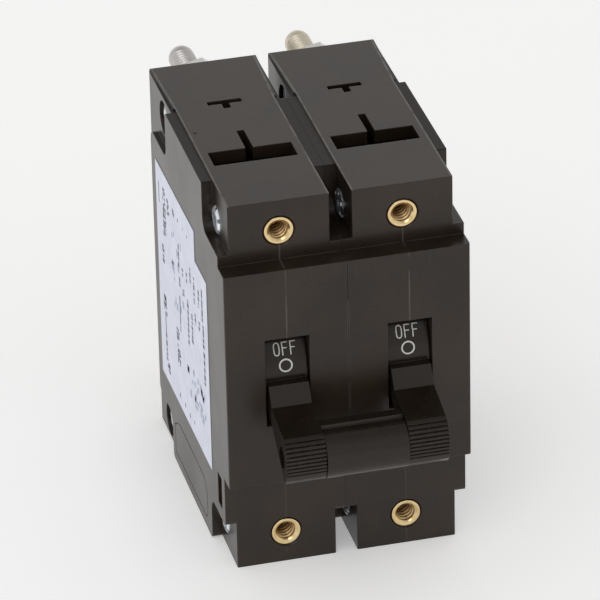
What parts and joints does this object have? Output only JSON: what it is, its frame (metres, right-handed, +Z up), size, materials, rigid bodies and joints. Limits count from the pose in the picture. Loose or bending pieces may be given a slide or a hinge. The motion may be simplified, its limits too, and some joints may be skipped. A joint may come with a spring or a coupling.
{
  "type": "circuit breaker",
  "caption": "Panel-mounted hydraulic-magnetic circuit breaker with side-by-side poles, linked toggle handles, threaded front inserts and rear terminal studs.",
  "frame": {"origin": "centre of the four panel-mounting inserts, on the mounting plane at the front of the pole ends", "axes": "-Y out of the front towards the operator, +Y towards the rear terminal studs, +X across the poles to the operator's right, +Z up; handles at OFF (down)"},
  "size_m": [0.0381, 0.0795, 0.0628],
  "materials": {
    "arc_steel": "plated steel arc splitter plates",
    "fibre_board": "vulcanised fibre board",
    "rivet_plated": "bright zinc plated rolled rivet",
    "trip_bar_plastic": "moulded nylon",
    "steel_pin": "ground steel pin",
    "magnet_steel": "soft magnetic iron, zinc plated",
    "spring_steel": "spring wire",
    "bobbin_nylon": "moulded nylon",
    "enamelled_wire": "enamelled copper winding",
    "copper": "stamped copper alloy",
    "terminal_brass": "stamped brass",
    "silver_contact": "silver alloy contact",
    "copper_braid": "flexible copper lead",
    "handle_moulding": "black thermoplastic moulding, satin",
    "case_moulding": "black glass-filled thermoset moulding, satin",
    "steel_link": "stamped steel",
    "washer_plated": "plated washer",
    "insert_brass": "machined brass, tapped",
    "label_film": "printed self-adhesive film",
    "nut_plated": "plated hex nut",
    "stud_plated": "tin plated threaded stud"
  },
  "bodies": {
    "root": {"arc_plates": "arc_steel", "arc_side_boards": "fibre_board", "case_rivets": "rivet_plated", "left_arm_pin": "steel_pin", "left_armature_pin": "steel_pin", "left_armature_spring": "spring_steel", "left_bobbin": "bobbin_nylon", "left_coil": "enamelled_wire", "left_contact_spring": "spring_steel", "left_core_spring": "spring_steel", "left_delay_tube": "terminal_brass", "left_fixed_contact": "silver_contact", "left_flexible_lead": "copper_braid", "left_handle_pin": "steel_pin", "left_handle_spring": "spring_steel", "left_line_terminal": "terminal_brass", "left_load_terminal": "terminal_brass", "left_magnet_frame": "magnet_steel", "left_pole_case_left_half": "case_moulding", "left_pole_case_right_half": "case_moulding", "left_pole_piece": "magnet_steel", "lock_washers": "washer_plated", "mounting_inserts": "insert_brass", "right_arm_pin": "steel_pin", "right_armature_pin": "steel_pin", "right_armature_spring": "spring_steel", "right_bobbin": "bobbin_nylon", "right_coil": "enamelled_wire", "right_contact_spring": "spring_steel", "right_core_spring": "spring_steel", "right_delay_tube": "terminal_brass", "right_fixed_contact": "silver_contact", "right_flexible_lead": "copper_braid", "right_handle_pin": "steel_pin", "right_handle_spring": "spring_steel", "right_line_terminal": "terminal_brass", "right_load_terminal": "terminal_brass", "right_magnet_frame": "magnet_steel", "right_pole_case_left_half": "case_moulding", "right_pole_case_right_half": "case_moulding", "right_pole_piece": "magnet_steel", "side_label": "label_film", "stud_nuts": "nut_plated", "stud_washers": "washer_plated", "terminal_studs": "stud_plated"},
    "toggle": {"left_handle": "handle_moulding", "right_handle": "handle_moulding", "tie_bar": "handle_moulding", "tie_pin": "steel_pin"},
    "left_link": {"left_toggle_link": "steel_link"},
    "right_link": {"right_toggle_link": "steel_link"},
    "left_arm": {"left_contact_arm": "copper", "left_moving_contact": "silver_contact"},
    "right_arm": {"right_contact_arm": "copper", "right_moving_contact": "silver_contact"},
    "left_armature_body": {"left_armature": "magnet_steel"},
    "right_armature_body": {"right_armature": "magnet_steel"},
    "left_core_body": {"left_delay_core": "magnet_steel"},
    "right_core_body": {"right_delay_core": "magnet_steel"},
    "trip_bar": {"common_trip_bar": "trip_bar_plastic"}
  },
  "joints": [
    {"name": "handle_swing", "type": "hinge", "parent": "root", "child": "toggle", "pos_m": [0, 0.0075, 0.0024], "axis": [-1, 0, 0], "range_deg": [0, 40], "deforming": ["left_handle_spring", "right_handle_spring"]},
    {"name": "left_link_pivot", "type": "hinge", "parent": "toggle", "child": "left_link", "pos_m": [-0.00953, 0.01069, 0.00356], "axis": [-1, 0, 0], "range_deg": [-50.2, 0]},
    {"name": "left_arm_pivot", "type": "hinge", "parent": "root", "child": "left_arm", "pos_m": [-0.00953, 0.014, -0.01], "axis": [-1, 0, 0], "range_deg": [0, 10], "deforming": ["left_contact_spring", "left_flexible_lead"]},
    {"name": "left_armature_pivot", "type": "hinge", "parent": "root", "child": "left_armature_body", "pos_m": [-0.00953, 0.0369, -0.00705], "axis": [1, 0, 0], "range_deg": [0, 8], "stiffness_Nm_per_rad": 0.004, "deforming": ["left_armature_spring"]},
    {"name": "left_core_slide", "type": "slide", "parent": "root", "child": "left_core_body", "axis": [0, 0, 1], "range_m": [0, 0.0058], "stiffness_N_per_m": 20, "deforming": ["left_core_spring"]},
    {"name": "right_link_pivot", "type": "hinge", "parent": "toggle", "child": "right_link", "pos_m": [0.00953, 0.01069, 0.00356], "axis": [-1, 0, 0], "range_deg": [-50.2, 0]},
    {"name": "right_arm_pivot", "type": "hinge", "parent": "root", "child": "right_arm", "pos_m": [0.00953, 0.014, -0.01], "axis": [-1, 0, 0], "range_deg": [0, 10], "deforming": ["right_contact_spring", "right_flexible_lead"]},
    {"name": "right_armature_pivot", "type": "hinge", "parent": "root", "child": "right_armature_body", "pos_m": [0.00953, 0.0369, -0.00705], "axis": [1, 0, 0], "range_deg": [0, 8], "stiffness_Nm_per_rad": 0.004, "deforming": ["right_armature_spring"]},
    {"name": "right_core_slide", "type": "slide", "parent": "root", "child": "right_core_body", "axis": [0, 0, 1], "range_m": [0, 0.0058], "stiffness_N_per_m": 20, "deforming": ["right_core_spring"]},
    {"name": "trip_bar_turn", "type": "hinge", "parent": "root", "child": "trip_bar", "pos_m": [0, 0.02, -0.0152], "axis": [-1, 0, 0], "range_deg": [0, 12], "stiffness_Nm_per_rad": 0.003}
  ],
  "couplings": [
    {"joint": "left_link_pivot", "follows": "handle_swing", "ratio": -1.25},
    {"joint": "left_arm_pivot", "follows": "handle_swing", "ratio": 0.2492},
    {"joint": "right_link_pivot", "follows": "handle_swing", "ratio": -1.25},
    {"joint": "right_arm_pivot", "follows": "handle_swing", "ratio": 0.2492}
  ]
}
